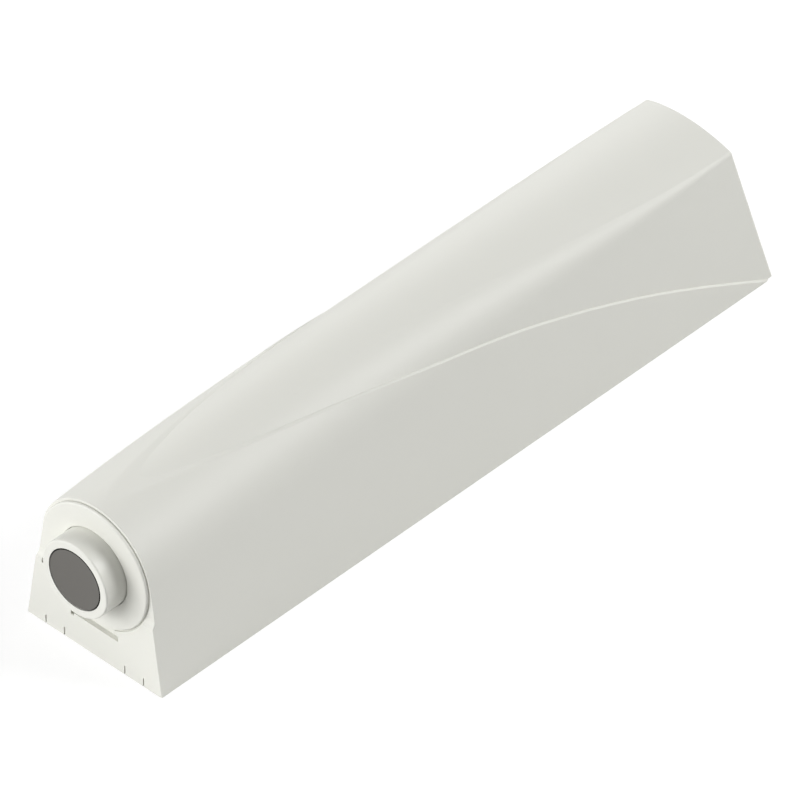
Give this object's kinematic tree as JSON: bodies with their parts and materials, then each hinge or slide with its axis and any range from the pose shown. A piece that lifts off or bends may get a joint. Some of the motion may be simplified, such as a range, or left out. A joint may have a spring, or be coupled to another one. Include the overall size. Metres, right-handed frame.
{
  "type": "touch latch",
  "caption": "Magnetic touch latch for a cabinet door: a spring plunger cartridge in a tapered screw-on housing.",
  "frame": {"origin": "on the underside, halfway between the two screw holes of the base plate", "axes": "+Y runs from the plunger's end to the rear, -Z is the mounting face's outward normal, X runs across"},
  "size_m": [0.017, 0.0829, 0.0182],
  "materials": {
    "cover_plastic": "fine moulded off-white",
    "base_plastic": "moulded off-white",
    "barrel_plastic": "smooth moulded off-white",
    "plunger_plastic": "smooth acetal",
    "cam_plastic": "grey acetal",
    "rotor_plastic": "dark grey acetal",
    "magnet_face": "dull nickel plate",
    "steel": "plain steel",
    "rubber": "matt black"
  },
  "bodies": {
    "housing": {"housing_cover": "cover_plastic", "base_plate": "base_plastic", "barrel": "barrel_plastic", "cam_sleeve": "cam_plastic", "end_cap": "cam_plastic", "end_cap_pin": "steel", "rear_buffer": "rubber", "main_spring": "steel"},
    "plunger": {"plunger_tube": "plunger_plastic", "push_rod": "plunger_plastic", "magnet": "magnet_face", "magnet_backing": "steel", "damping_ring": "rubber", "thrust_washer": "steel"},
    "rotor": {"cam_rotor": "rotor_plastic"}
  },
  "joints": [
    {"name": "plunger_slide", "type": "slide", "parent": "housing", "child": "plunger", "axis": [0, -1, 0], "range_m": [-0.0015, 0.012], "deforming": ["main_spring"]},
    {"name": "rotor_turn", "type": "hinge", "parent": "plunger", "child": "rotor", "pos_m": [0, 0.003, 0.01072], "axis": [0, 1, 0], "continuous": true}
  ]
}
